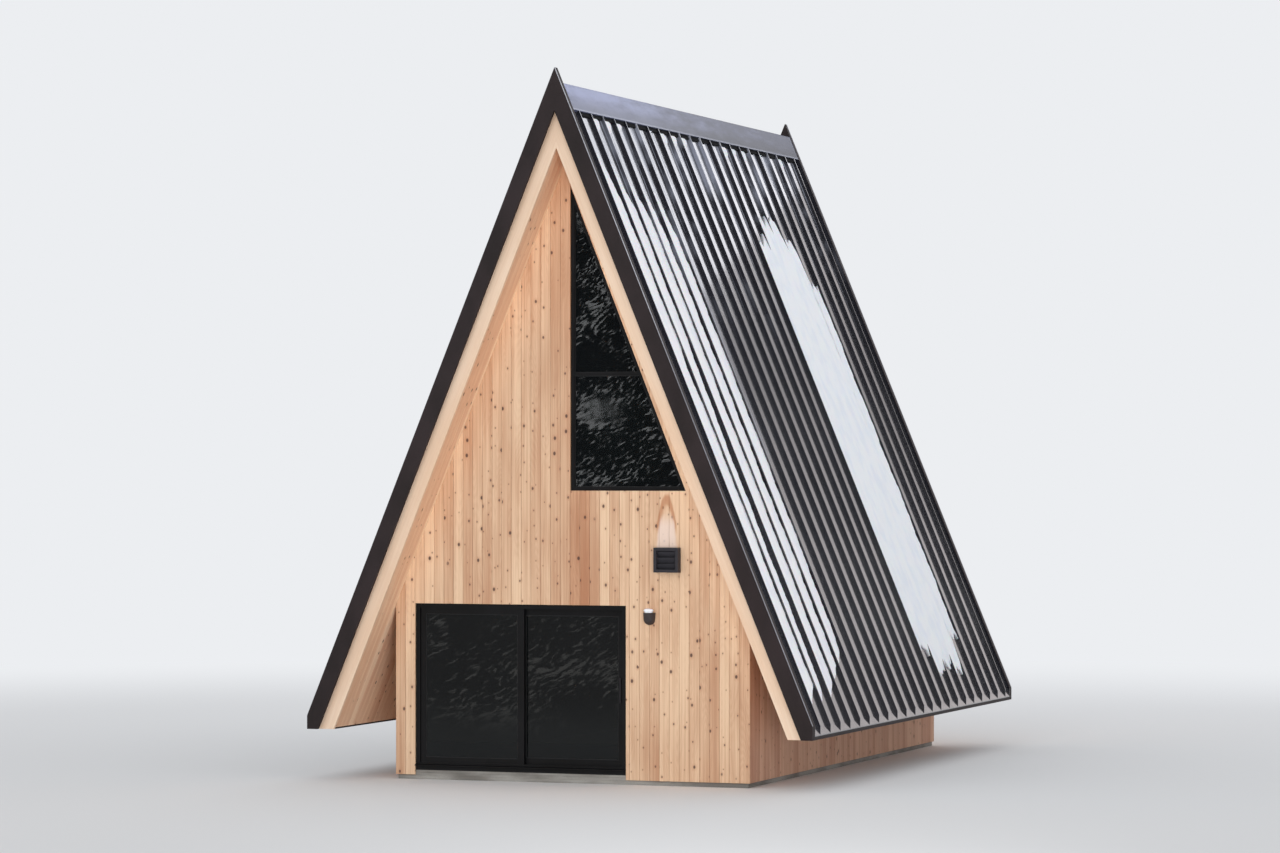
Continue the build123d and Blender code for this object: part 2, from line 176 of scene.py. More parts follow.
def timber(finish, across, along, width, light, dark, knots=0.6, contrast=1.0):
    """Colour and relief of boards of this width, each with its own tone, stretch of grain and knots."""
    board = (across / width).floor()
    inside = across - (board + 0.5) * width
    luck, other = [finish.node("ShaderNodeTexWhiteNoise", {"noise_dimensions": "1D"}, {"W": board + seed})
                   for seed in (0.37, 71.83)]
    start = along + luck * 53

    # There is a knot in each cell, and it shows in some: more often on a knotty board or in a knotty stretch.
    at = finish.node("ShaderNodeCombineXYZ", {}, {"X": inside * 7 + luck * 31, "Y": start * 5})
    cells = {"Vector": at, "Scale": 1.0, "Randomness": 1.0}
    near = finish.node("ShaderNodeTexVoronoi", {"voronoi_dimensions": "2D"}, cells)
    chance = finish.node("ShaderNodeTexVoronoi", {"voronoi_dimensions": "2D"}, cells, "Color")
    first, second = [finish.node("ShaderNodeSeparateXYZ", {}, {"Vector": chance}, axis) for axis in "XY"]
    cluster = finish.noise(across * 1.1, along * 0.9, 0, 1.0)
    chosen = (first + other * 0.5 * knots + (cluster - 0.5) * knots * 1.5).rise(1.06 - knots, 1.1 - knots)
    near = near / (0.38 + second * second * 0.8)
    heart = near.rise(0.14, 0.07) * chosen
    halo = near.rise(0.34, 0.08) * chosen

    # Growth rings bend round the knots, over broad streaks, longer changes of tone and fine fibre.
    flow = finish.noise(inside * 5 + luck * 19, start * 0.45, luck * 7, 1.0)
    rings = ((flow + halo * 0.02) * 210).wave()
    streak = finish.noise(inside * 34 + luck * 11, start * 0.5, luck * 3, 2.0)
    stretch = finish.noise(inside * 4 + luck * 17, start * 0.8, luck * 3, 1.0)
    fibre = finish.noise(inside * 260, start * 3, luck * 5, 2.0)
    shade = (luck * 0.62 + 0.14 + (streak - 0.5) * 1.1 * contrast
             + (stretch - 0.5) * 0.9 + rings * 0.05 * contrast)
    wood = finish.mix(light, dark, shade.rise(-0.1, 1.1))
    wood = finish.mix(wood, RESIN, halo * 0.3)
    wood = finish.mix(wood, KNOT, heart * (0.55 + second * 0.4))
    finish.feed("Base Color", finish.dim(wood, 0.93 + fibre * 0.14))
    finish.feed("Roughness", 0.62 + fibre * 0.2 - heart * 0.15)
    finish.relief(fibre * 0.3 + rings * 0.15 - heart * 0.5, 0.0015)
    return wood, fibre


FLOOR_BOARD_W = 0.14
floor_oil = Finish("oiled_floor")
timber(floor_oil, floor_oil.x, floor_oil.y, FLOOR_BOARD_W, paint(196, 160, 122), paint(160, 122, 88),
       knots=0.2)
dress(floor_oil, "ground_floor", "loft_floor")


# The walls are stud frames filled with insulation and closed by sheets of birch plywood, 1.22 m wide, whose
# upright joints show inside. Each wall is made in parts, beside and over its openings.
SHEET_W = 1.22
plywood = Finish("plywood")
timber(plywood, plywood.x + plywood.y, plywood.z, SHEET_W, paint(214, 184, 146), paint(190, 156, 118),
       knots=0.05, contrast=0.5)
dress(plywood, "side_wall_left", "side_wall_right", *[
    f"{end}_wall_{part}" for end in ("front", "back")
    for part in ("left", "right", "gable_left", "gable_right", "gable_top")], "back_wall_sill")


# The gable walls are clad in upright boards of knotty larch, tongued and grooved with a narrow open joint and
# nailed through the tongue so that no fixing shows. They are cut along the roof and round each opening.
def block(name, low, high):
    """A box between two corners, for further work."""
    low, high = Vector(low), Vector(high)
    bpy.ops.object.select_all(action="DESELECT")
    bpy.ops.mesh.primitive_cube_add(size=1, location=(low + high) / 2)
    piece = bpy.context.object
    piece.name = name
    piece.scale = high - low
    bpy.ops.object.transform_apply()
    return piece


def take(piece):
    """Selects this piece alone."""
    bpy.ops.object.select_all(action="DESELECT")
    piece.select_set(True)
    bpy.context.view_layer.objects.active = piece


def pick_out(piece, kind, rule=lambda part: True):
    """Opens a piece for work, with the faces, edges or corners selected that pass the rule."""
    take(piece)
    bpy.ops.object.mode_set(mode="EDIT")
    bpy.ops.mesh.select_mode(type=kind)
    bpy.ops.mesh.select_all(action="DESELECT")
    bpy.ops.object.mode_set(mode="OBJECT")
    parts = {"FACE": piece.data.polygons, "EDGE": piece.data.edges, "VERT": piece.data.vertices}[kind]
    for part in parts:
        part.select = rule(part)
    bpy.ops.object.mode_set(mode="EDIT")


def close():
    bpy.ops.object.mode_set(mode="OBJECT")


def work(piece, kind, **settings):
    """Gives a piece a modifier and applies it."""
    take(piece)
    made = piece.modifiers.new(kind.lower(), kind)
    for name, setting in settings.items():
        setattr(made, name, setting)
    bpy.ops.object.modifier_apply(modifier=made.name)


def place(piece, matrix):
    """Turns and moves a piece, and leaves its object at the origin."""
    take(piece)
    piece.matrix_world = matrix
    bpy.ops.object.transform_apply()


def saw(piece, point, outward):
    """Cuts off what lies beyond a plane, and closes the cut."""
    pick_out(piece, "FACE")
    bpy.ops.mesh.bisect(plane_co=point, plane_no=Vector(outward).normalized(), use_fill=True,
                        clear_outer=True)
    close()


def cut_hole(piece, plug):
    work(piece, "BOOLEAN", operation="DIFFERENCE", solver="EXACT", object=plug)
    bpy.data.objects.remove(plug)


def fit(piece, finish, slot, *stands_for, body="house"):
    """Hands over a finished piece: its finish, the body that carries it and the nodes it stands for."""
    piece.data.materials.clear()
    piece.data.materials.append(finish.material)
    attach(piece, body)
    if stands_for:
        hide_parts(*stands_for)


JOINT = 0.003            # open joint between two boards
JOINT_DEPTH = 0.009      # from the boards' face down to their tongues
EASE = 0.0015            # eased edges
HAIR = 0.0004            # between the tongues


def boards(name, run, count, low, high, face, thickness):
    """A row of upright boards that faces -Y, made from one and repeated along X."""
    pitch = run / count
    start = -run / 2 + HAIR / 2
    row = block(name, (start, JOINT_DEPTH - face, low), (start + pitch - HAIR, thickness - face, high))
    pick_out(row, "FACE", lambda side: side.normal.y < -0.5)
    bpy.ops.mesh.inset(thickness=JOINT / 2)
    bpy.ops.mesh.extrude_region_move(TRANSFORM_OT_translate={"value": (0, -JOINT_DEPTH, 0)})
    bpy.ops.mesh.region_to_loop()
    bpy.ops.mesh.bevel(offset=EASE, segments=1, affect="EDGES")
    close()
    work(row, "ARRAY", count=count, use_relative_offset=False, use_constant_offset=True,
         constant_offset_displace=(pitch, 0, 0))
    return row


PITCH = math.radians(67.5)
DOWN = Vector((math.cos(PITCH), 0, -math.sin(PITCH)))      # down the right slope
OUT = Vector((math.sin(PITCH), 0, math.cos(PITCH)))        # square out of it
MIRRORED = Vector((-1, 1, 1))
GABLE_BOARDS = 36
REACH = 0.2              # how far a plug stands out of the wall that it cuts

wall_low, wall_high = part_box("front_cladding")
ridge_under = Vector((0, 0, wall_high.z))


def towards(finish, way):
    """How far a point of either slope lies this way, which is DOWN the slope or square OUT of it."""
    return finish.x.size() * way.x + finish.z * way.z


def opening(low, high, side_y):
    """The plug that cuts an opening between two corners into the gable at this Y."""
    return block("plug", (low.x, side_y - REACH, low.z), (high.x, side_y + REACH, high.z))


def window_opening(side_y):
    """The plug of the gable window, an upright right triangle."""
    low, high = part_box("front_window_frame")
    plug = opening(low, high, side_y)
    saw(plug, (high.x, 0, low.z), (high.z - low.z, 0, high.x - low.x))
    return plug


def gable_boards(name, turn):
    row = boards(name, wall_high.x - wall_low.x, GABLE_BOARDS, wall_low.z, wall_high.z,
                 -wall_low.y, wall_high.y - wall_low.y)
    place(row, Matrix.Rotation(turn, 4, "Z"))
    saw(row, ridge_under, OUT)
    saw(row, ridge_under, OUT * MIRRORED)
    return row


front_boards = gable_boards("front_boards", 0)
door_low, door_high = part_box("door_head")
cut_hole(front_boards, opening(Vector((door_low.x, 0, -REACH)), door_high, wall_low.y))
cut_hole(front_boards, window_opening(wall_low.y))

back_boards = gable_boards("back_boards", math.pi)
cut_hole(back_boards, opening(*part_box("back_lower_window_frame"), -wall_low.y))
cut_hole(back_boards, window_opening(-wall_low.y))

GABLE_PITCH = (wall_high.x - wall_low.x) / GABLE_BOARDS
LARCH_LIGHT, LARCH_DARK = paint(231, 198, 164), paint(190, 143, 110)
PAINTED_LIGHT_UNDER = 0.6         # breadth of the painted light along the roof
PAINTED_LIGHT_FROM, PAINTED_LIGHT_FULL = 5.3, 6.3       # heights over which painted light makes the front wall paler towards its top


def painted_light_under_roof(finish):
    """1 along the roof's underside, and 0 where the painted light under it ends."""
    return towards(finish, OUT).rise(ridge_under.z * OUT.z - PAINTED_LIGHT_UNDER, ridge_under.z * OUT.z)


# Two boards under the tall window are redder than the rest. Over the vent hood warm air has bleached the
# boards and left a darker, arched rim round the pale patch.
RED_BOARDS = ((0.0, 0.5), (GABLE_PITCH, 0.6))
RED_TINT = (0.76, 0.54, 0.42, 1.0)
SILL, LINTEL = 3.765, 1.9        # between the tall window and the door
SHARP = 0.001            # breadth of a sharp change of colour
PATCH_X, PATCH_FOOT = 1.315, 3.02
PATCH_HALF_W = 0.135
PATCH_H = 0.66
larch = Finish("front_larch")
wood, fibre = timber(larch, larch.x, larch.z, GABLE_PITCH, LARCH_LIGHT, LARCH_DARK)
for left, depth in RED_BOARDS:
    right = left + GABLE_PITCH
    here = larch.x.rise(left, left + SHARP) * larch.x.rise(right, right - SHARP)
    share = here * larch.z.rise(SILL, SILL - 0.01) * larch.z.rise(LINTEL, LINTEL + 0.01) * depth
    wood = larch.node("ShaderNodeMix", {"data_type": "RGBA", "blend_type": "MULTIPLY"},
                      {0: share, 6: wood, 7: RED_TINT}, 2)
up = (larch.z - PATCH_FOOT) / PATCH_H
wobble = (larch.noise(larch.x * 9, larch.z * 7, 0) - 0.5) * 0.5
side = (larch.x - PATCH_X).size() / PATCH_HALF_W

# The flame grows outwards from the foot of the patch, and is about 1 along its arched rim.
flame = side * side * (0.7 + up) + up * up * up + wobble
over_vent = larch.y.rise(0.1, 0) * up.rise(0, 0.03)
rim = flame.rise(1.35, 1.0) * flame.rise(0.35, 0.8) * up.rise(0.25, 0.5)
wood = larch.mix(wood, paint(186, 124, 84), over_vent * rim * 0.75)
wood = larch.mix(wood, paint(234, 214, 202), over_vent * flame.rise(1.0, 0.5) * up.rise(0.75, 0.4) * 0.75)
# Painted light: the wall is painted paler along the roof and towards its top, for the light that the roof's
# overhang shades off it.
painted_light_high_up = larch.z.rise(PAINTED_LIGHT_FROM, PAINTED_LIGHT_FULL)
larch.feed("Base Color", larch.dim(wood, 0.93 + fibre * 0.14 + painted_light_under_roof(larch) * 0.22 + painted_light_high_up * 0.12))
fit(front_boards, larch, "facade_board", "front_cladding")

back_larch = Finish("back_larch")
wood, fibre = timber(back_larch, back_larch.x, back_larch.z, GABLE_PITCH, LARCH_LIGHT, LARCH_DARK)
# Painted light along the roof, as on the front wall.
back_larch.feed("Base Color", back_larch.dim(wood, 0.93 + fibre * 0.14 + painted_light_under_roof(back_larch) * 0.22))
fit(back_boards, back_larch, "facade_board", "back_cladding")


# The low side walls carry the same boards, behind the corner boards of the gables and cut along the roof's
# underside. They stay in the shade of the roof, and their colours are painted darker and redder than the
# gables' as painted shade.
SIDE_BOARDS = 63
side_low, side_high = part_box("side_cladding")
side_run = side_high.y - side_low.y
side_pitch = side_run / SIDE_BOARDS
side_larch_painted_shade = Finish("side_larch_painted_shade")
# Painted shade: darker, redder colours than the gables' larch.
timber(side_larch_painted_shade, side_larch_painted_shade.y - side_low.y, side_larch_painted_shade.z, side_pitch,
       paint(219, 177, 148), paint(187, 135, 108))
for name, turn in (("side_boards_right", math.pi / 2), ("side_boards_left", -math.pi / 2)):
    row = boards(name, side_run, SIDE_BOARDS, side_low.z, side_high.z, side_high.x, wall_high.y - wall_low.y)
    place(row, Matrix.Rotation(turn, 4, "Z"))
    saw(row, ridge_under, OUT if turn > 0 else OUT * MIRRORED)
    fit(row, side_larch_painted_shade, "facade_board", "side_cladding")


# The underside of the roof is boarded from ridge to eave: outside it is the soffit, inside the ceiling. The
# boards run down the slope, tongued and grooved as the walls are, and end in a level cut at the eave. Their
# colours are painted paler than the gables' larch, as painted light for the shade under the roof.
LINING_BOARDS = 70
LINING_T = 0.02
OVER_RIDGE, PAST_EAVE = 0.2, 1.0         # spare length of the boards, cut off again
lining_low, lining_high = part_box("roof_lining_right")
lining_run = lining_high.y - lining_low.y
lining_pitch = lining_run / LINING_BOARDS
soffit = Finish("soffit_larch_painted_light")
# Painted light: these colours are paler than the gables' larch, for the shade under the roof.
timber(soffit, soffit.y - lining_low.y, towards(soffit, DOWN), lining_pitch,
       paint(250, 220, 188), paint(226, 180, 146), knots=0.35)
slope_length = (lining_high.z - lining_low.z) / math.sin(PITCH) + PAST_EAVE
for side, mirror in (("right", Matrix.Identity(4)), ("left", Matrix.Rotation(math.pi, 4, "Z"))):
    lining = boards(f"soffit_{side}", lining_run, LINING_BOARDS, -slope_length, OVER_RIDGE, 0, LINING_T)
    tilt = Matrix(((0, OUT.x, -DOWN.x), (-1, 0, 0), (0, OUT.z, -DOWN.z))).to_4x4()
    place(lining, mirror @ Matrix.Translation(ridge_under) @ tilt)
    saw(lining, (0, 0, 0), (-1, 0, 0) if side == "right" else (1, 0, 0))
    saw(lining, (0, 0, lining_low.z), (0, 0, -1))
    fit(lining, soffit, "lining_board", f"roof_lining_{side}")


# The roof panels hold the rafters and their insulation under a skin of oriented strand board, pressed from
# flakes of wood. Only their edges could be seen, and the metal and the rake cover those.
strands = Finish("strand_board", Roughness=0.8)
flakes = {"Vector": strands.node("ShaderNodeCombineXYZ", {}, {
    "X": strands.x * 20, "Y": strands.y * 9, "Z": strands.z * 20}), "Scale": 1.0}
flake = strands.node("ShaderNodeTexVoronoi", {}, flakes, "Color")
luck = strands.node("ShaderNodeSeparateXYZ", {}, {"Vector": flake}, "X")
strands.feed("Base Color", strands.mix(paint(206, 170, 122), paint(160, 118, 76), luck))
strands.relief(luck, 0.001)
dress(strands, "roof_panel_left", "roof_panel_right")


# The roof is dark steel, painted at the mill and rolled into long pans whose edges stand up and lock over
# each other as seams. The pans are not quite flat, so what they mirror wanders a little. Pale streaks high up
# are rime and also painted reflection of the sky.
rake_low, rake_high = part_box("rake_box_right")
apex, front_y = rake_high.z, rake_low.y
SEAM_PITCH = 0.427
END_PAN = 0.225          # the cut pan at each end
FIRST_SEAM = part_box("roof_sheet_right")[0].y + END_PAN
RIME_PAN = 5             # just behind the last strip of snow
roof_paint = Finish("roof_steel", IOR=1.5, Coat_Roughness=0.06, Coat_IOR=1.6)
slope = roof_paint.x.size() * DOWN.x + (apex - roof_paint.z) * math.sin(PITCH)
pan = ((roof_paint.y - FIRST_SEAM) / SEAM_PITCH).floor()
luck = roof_paint.node("ShaderNodeTexWhiteNoise", {"noise_dimensions": "1D"}, {"W": pan + 0.5})
buckle = roof_paint.noise(roof_paint.y * 2.5, slope * 0.9, luck * 9, 1.0)
drift = roof_paint.noise(roof_paint.y * 18, slope * 0.55, luck * 5, 3.0, 0.65)
mottle = roof_paint.noise(roof_paint.y * 40, slope * 6, 0)

# The pale streaks, rime and painted reflection of the sky, are thickest near the ridge and streaked down the
# pans, and a film of them trails off behind the snow.
rime_and_painted_sky = (drift + slope.rise(1.4, 0.4) * 0.06).rise(0.54, 0.65) * slope.rise(4.0, 0.8) * pan.rise(0.4, 0.6)
film = (roof_paint.y - FIRST_SEAM - RIME_PAN * SEAM_PITCH).rise(0.36, 0.05) * drift.rise(0.3, 0.6)
film = film * roof_paint.x.rise(0, 0.1) * slope.rise(2.2, 2.6) * slope.rise(5.8, 5)
film = film * (pan - (RIME_PAN - 0.5)).rise(0.4, 0.45)
rime_and_painted_sky = rime_and_painted_sky.most(film)

tone = roof_paint.mix(paint(28, 28, 36), paint(40, 40, 49), luck * 0.5 + mottle * 0.5)
# Painted reflection: the pale bluish streaks stand for the sky mirrored in the pans as well as for rime.
roof_paint.feed("Base Color", roof_paint.mix(tone, paint(206, 211, 228), rime_and_painted_sky * 0.55))
roof_paint.feed("Roughness", 0.18 + mottle * 0.1 + rime_and_painted_sky * 0.3)
roof_paint.feed("Coat Weight", 1 - rime_and_painted_sky * 0.6)
roof_paint.relief(buckle, 0.01)
dress(roof_paint, "roof_sheet_left", "roof_sheet_right")


# Under the foot of the ridge cap a strip of black foam rubber closes each pan from seam to seam. It was
# pressed in before the cap was fixed, and about 4 cm of it shows. Its near-black colour is painted shade as
# well: the strip stands for the dark band of shade under the cap's foot.
PAN_DEPTH = 0.05         # top of the pans under the rake's outer face
SEAM_FOOT = 0.008        # from the seam's line to the side of its stem
FOAM_T = 0.022
FOAM_BAND = 0.068        # down the slope
FOAM_UNDER = 0.03        # of it, hidden by the cap
FOAM_EDGE = 0.004        # rounding of its edges
ON_ROOF = Matrix.Translation((0, front_y, apex)) @ Matrix((
    (0, DOWN.x, OUT.x), (-1, 0, 0), (0, DOWN.z, OUT.z))).to_4x4()
cap_low, cap_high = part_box("ridge_cap")
cap_foot = cap_high.x * math.cos(PITCH) + (apex - cap_low.z) * math.sin(PITCH)
WHOLE_PANS = 21
foam_painted_shade = Finish("closure_foam", Specular_IOR_Level=0.2)
pores = foam_painted_shade.grain(150)
# Painted shade: near black, for the shade under the cap's foot.
foam_painted_shade.feed("Base Color", foam_painted_shade.mix(paint(12, 12, 14), paint(26, 26, 29), pores))
foam_painted_shade.feed("Roughness", 0.8 + pores * 0.2)
foam_painted_shade.relief(pores, 0.001)
for side, turn in (("right", Matrix.Identity(4)), ("left", Matrix.Rotation(math.pi, 4, "Z"))):
    first = front_y - FIRST_SEAM - SEAM_FOOT
    strip = block(f"closure_{side}", (first - SEAM_PITCH + 2 * SEAM_FOOT, cap_foot - FOAM_UNDER, -PAN_DEPTH),
                  (first, cap_foot - FOAM_UNDER + FOAM_BAND, FOAM_T - PAN_DEPTH))
    pick_out(strip, "EDGE")
    bpy.ops.mesh.bevel(offset=FOAM_EDGE, segments=2, affect="EDGES")
    close()
    work(strip, "ARRAY", count=WHOLE_PANS, use_relative_offset=False, use_constant_offset=True,
         constant_offset_displace=(-SEAM_PITCH, 0, 0))
    place(strip, turn @ ON_ROOF)
    fit(strip, foam_painted_shade, "rubber")


# Snow has slid off most of the steel and stays between some seams of the right slope: strips 2 cm thick that
# lie against the seam in front of them, with a melted, wandering edge towards the back.
SNOW_T = 0.02
SNOW_EDGE = 0.003        # rounding of its edges
SNOW_ROW = 0.04          # between the rows of a strip's mesh
LEAST_SNOW = 0.4         # thickness of a melted end, as a share of the whole
BITE = 0.16              # share of the breadth that is melted away in places
FOOT_THAW = 0.3          # a strip's foot is melted over this share of the length of its melted top
SWINGS = ((1, 5.1, 3), (0.6, 13.7, 1), (0.5, 31, 7), (0.4, 57, 5))     # size, rate, shift with the seed
snow_white = Finish("snow", Roughness=0.55, Subsurface_Weight=0.15, Subsurface_Scale=0.02)
crust = snow_white.noise(snow_white.x * 3, snow_white.y * 5, snow_white.z * 3)
grain = snow_white.grain(120)
thin_snow = snow_white.mix(paint(244, 244, 252), paint(253, 252, 255), crust.rise(0.3, 0.6))
thick_snow = snow_white.mix(paint(238, 243, 252), paint(248, 251, 255), crust.rise(0.3, 0.6))
snow_white.feed("Base Color", snow_white.mix(thin_snow, thick_snow, snow_white.y.rise(-1, 0)))
snow_white.relief(crust + grain * 0.15, 0.006)


def lay_snow(name, columns, rows, where):
    """A closed sheet of snow. For each share across and down it, where gives the distances behind the front
    rake, down the slope and over the pans."""
    bpy.ops.object.select_all(action="DESELECT")
    bpy.ops.mesh.primitive_grid_add(x_subdivisions=columns, y_subdivisions=rows, size=1)
    sheet = bpy.context.object
    sheet.name = name
    for corner in sheet.data.vertices:
        behind, s, height = where(0.5 - corner.co.x, corner.co.y + 0.5)
        corner.co = (-behind, s, height - PAN_DEPTH)
    pick_out(sheet, "FACE")
    bpy.ops.mesh.extrude_region_move()
    bpy.ops.transform.resize(value=(1, 1, 0), center_override=(0, 0, -PAN_DEPTH))
    bpy.ops.mesh.select_all(action="SELECT")
    bpy.ops.mesh.normals_make_consistent(inside=False)
    close()
    work(sheet, "BEVEL", width=SNOW_EDGE, segments=2, limit_method="ANGLE", angle_limit=1.0)
    place(sheet, ON_ROOF)
    bpy.ops.object.shade_smooth_by_angle(angle=0.9)
    sheet.data.materials.append(snow_white.material)
    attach(sheet, "house")


def wander(s, seed):
    """Uneven swings round 0, along a melted edge."""
    return sum(size * math.sin(s * rate + seed * shift) for size, rate, shift in SWINGS)


def snow_strip(name, behind, top, foot, widths, ragged, thaw):
    """Snow on one pan from top to foot, with its breadth at even steps down the slope. Its edge and ends are
    ragged, its ends thin out over the length of the thaw, and here and there a bite is melted out of it."""
    def where(across, down):
        step = down * (len(widths) - 1)
        last = min(int(step), len(widths) - 2)
        width = widths[last] + (widths[last + 1] - widths[last]) * (step - last)
        s = top + (foot - top) * down
        thin = min(1.0, (s - top) / thaw, (foot - s) / (thaw * FOOT_THAW))
        bite = max(0.0, math.sin(s * 0.9 + behind * 9 + math.sin(behind * 40))) ** 40 * BITE
        swing = wander(s, behind)
        width = (width * (1 - bite) + ragged * swing) * max(thin + 0.08 * swing * (1 - thin), 0.03) ** 0.6
        return behind + across * width, s, SNOW_T * (LEAST_SNOW + (1 - LEAST_SNOW) * thin)

    lay_snow(name, 5, int((foot - top) / SNOW_ROW), where)


def behind_seam(number):
    """How far behind the front rake the pan after this seam begins."""
    return FIRST_SEAM - front_y + number * SEAM_PITCH + SEAM_FOOT


STRIP_THAW = 0.8         # length of a strip's melted top
STRIPS = (               # top, foot, breadths down the slope, raggedness
    (1.0, 8.7, (0.32, 0.37, 0.41, 0.40, 0.41, 0.38, 0.41), 0.012),
    (1.1, 8.75, (0.34, 0.37, 0.37, 0.28, 0.27, 0.26, 0.28), 0.012),
    (1.25, 8.7, (0.32, 0.40, 0.41, 0.41, 0.40, 0.38, 0.36), 0.012),
    (1.4, 8.5, (0.3, 0.33, 0.36, 0.38, 0.39, 0.38, 0.33), 0.016),
    (1.4, 8.3, (0.32, 0.35, 0.40, 0.40, 0.39, 0.37, 0.3), 0.016),
)
for number, (top, foot, widths, ragged) in enumerate(STRIPS):
    snow_strip(f"snow_pan_{number}", behind_seam(number), top, foot, widths, ragged, STRIP_THAW)

# Further back the snow lies deeper and has closed over the seams of five pans. Its ends step from pan to pan.
DEEP_SNOW = 0.046
PATCH_SEAM = 13          # the seam in front of it
PATCH_SHORT = 0.04       # of the seam behind it
END_SWING, EDGE_SWING = 0.05, 0.02       # raggedness of its ends and of its edge
THIN_TOP, THIN_FOOT = 0.3, 0.2           # lengths over which its ends are melted
PATCH_ENDS = ((2.1, 8.2), (1.75, 8.6), (1.7, 8.5), (2.0, 8.6), (2.7, 8.1))     # top and foot on each pan


def patch_where(across, down):
    """The place of a point of the deep patch, as lay_snow asks for it."""
    pan_at = across * len(PATCH_ENDS)
    from_middle = min(max(pan_at - 0.5, 0.0), len(PATCH_ENDS) - 1.0)
    last = min(int(from_middle), len(PATCH_ENDS) - 2)
    share = min(max((from_middle - last - 0.5) * 4 + 0.5, 0.0), 1.0)
    top, foot = [here + (there - here) * share for here, there in zip(PATCH_ENDS[last], PATCH_ENDS[last + 1])]
    top += END_SWING * wander(pan_at * 2, 1)
    foot += END_SWING * wander(pan_at * 2, 2)
    s = top + (foot - top) * down
    breadth = len(PATCH_ENDS) * SEAM_PITCH - PATCH_SHORT + EDGE_SWING * wander(s, 3)
    thin = min(1.0, (s - top) / THIN_TOP, (foot - s) / THIN_FOOT, (1 - across) * 20)
    return behind_seam(PATCH_SEAM) + across * breadth, s, DEEP_SNOW * (LEAST_SNOW + (1 - LEAST_SNOW) * thin)


lay_snow("snow_patch", 40, 110, patch_where)

# Close under the ridge cap a short tip of snow is left in every few pans.
TIP_TOP = 0.57
TIP_WIDTHS = (0.2, 0.26, 0.22, 0.1)
TIP_LEAST = 0.08         # no shorter one is left
TIP_RAGGED, TIP_THAW = 0.014, 0.06
for number in range(1, WHOLE_PANS - 1):
    length = 0.16 + 0.12 * math.sin(number * 7.3) + 0.1 * math.sin(number * 3.1)
    if length > TIP_LEAST:
        snow_strip(f"snow_tip_{number}", behind_seam(number), TIP_TOP, TIP_TOP + length, TIP_WIDTHS,
                   TIP_RAGGED, TIP_THAW)


# The ridge cap is folded from the same steel in three lengths, bent over a blunt top, with its edge hemmed
# and turned down between the seams. A flat strap is bonded over each lap.
cap_paint = Finish("ridge_steel", IOR=1.5, Specular_IOR_Level=0.15, Coat_Roughness=0.3, Coat_IOR=1.4)
mottle = cap_paint.noise(cap_paint.x * 5, cap_paint.y * 1.4, cap_paint.z * 7, 4.0, 0.6)
grime = cap_paint.grain(40)

# Its pale bluish colour is painted reflection of the sky: paler towards the front and in clouds. Painted
# shade makes it darker towards its foot, and a painted highlight runs along the hem.
painted_sky_sheen = cap_paint.y.rise(2.5, -4.7) * 0.9 + (mottle - 0.5) * 1.6
tone = cap_paint.mix(paint(64, 69, 92), paint(138, 146, 186), painted_sky_sheen.rise(-0.1, 1.1))
# Painted shade: darker towards the foot.
towards_hem = cap_paint.x.size().rise(cap_high.x * 0.5, cap_high.x * 0.95)
tone = cap_paint.dim(tone, 1 - towards_hem * (0.2 + mottle * 0.7))
# Painted highlight along the hem.
hem = cap_paint.x.size().rise(cap_high.x - 0.012, cap_high.x - 0.004)
cap_paint.feed("Base Color", cap_paint.mix(tone, paint(206, 211, 230), hem * 0.3))
cap_paint.feed("Roughness", 0.3 + grime * 0.12)
cap_paint.feed("Coat Weight", 0.05 + painted_sky_sheen.rise(-0.1, 1.1) * 0.15)
cap_paint.relief(mottle, 0.003)
dress(cap_paint, "ridge_cap")
CAP_LAPS = (-1.57, 1.57)
CAP_TOP_HALF = 0.078
STRAP_W = 0.07
STRAP_T = 0.0025
STRAP_TOP_HALF = 0.076
STRAP_SUNK = 0.0005      # into the cap, so that no gap shows
STRAP_SHORT = 0.02       # of the cap's hem
leg = (cap_high.x - CAP_TOP_HALF) / math.cos(PITCH) - STRAP_SHORT
for number, y in enumerate(CAP_LAPS):
    strap = block(f"cap_strap_{number}", (-STRAP_TOP_HALF, y - STRAP_W / 2, cap_high.z - STRAP_SUNK),
                  (STRAP_TOP_HALF, y + STRAP_W / 2, cap_high.z + STRAP_T))
    for way in (Vector((1, 1, 1)), MIRRORED):
        pick_out(strap, "FACE", lambda face: face.normal.x * way.x > 0.5)
        bpy.ops.mesh.extrude_region_move(TRANSFORM_OT_translate={"value": tuple(DOWN * way * leg)})
        close()
    pick_out(strap, "FACE")
    bpy.ops.mesh.normals_make_consistent(inside=False)
    close()
    fit(strap, cap_paint, "roof_metal")


# The eaves are closed by folded steel along both long sides, and the rakes by steel boxes that stand over the
# pans and end in a drip lip. They are painted a dull brown-black, chalked a little by the weather.
dull = Finish("rake_steel", IOR=1.45, Specular_IOR_Level=0.35, Coat_Roughness=0.15)
weather = dull.noise(dull.x * 2, dull.y * 2, dull.z * 1.2)
grime = dull.grain(60)

# A painted highlight lies along the outer edge of each box's upper face.
painted_edge_highlight = towards(dull, OUT).rise(apex * OUT.z - 0.004, apex * OUT.z - 0.002)
painted_edge_highlight = painted_edge_highlight * dull.y.size().rise(-front_y - 0.04, -front_y - 0.025)
tone = dull.mix(paint(31, 22, 22), paint(43, 32, 33), weather.rise(0.3, 0.7))
# Painted highlight along the outer edge.
dull.feed("Base Color", dull.mix(tone, paint(150, 152, 162), painted_edge_highlight * (0.2 + weather * 0.9)))
dull.feed("Roughness", 0.5 + grime * 0.2)
dull.feed("Coat Weight", painted_edge_highlight * 0.8)
dull.relief(grime * 0.4 + weather, 0.002)
dress(dull, "rake_box_left", "rake_box_right", "eave_closers")


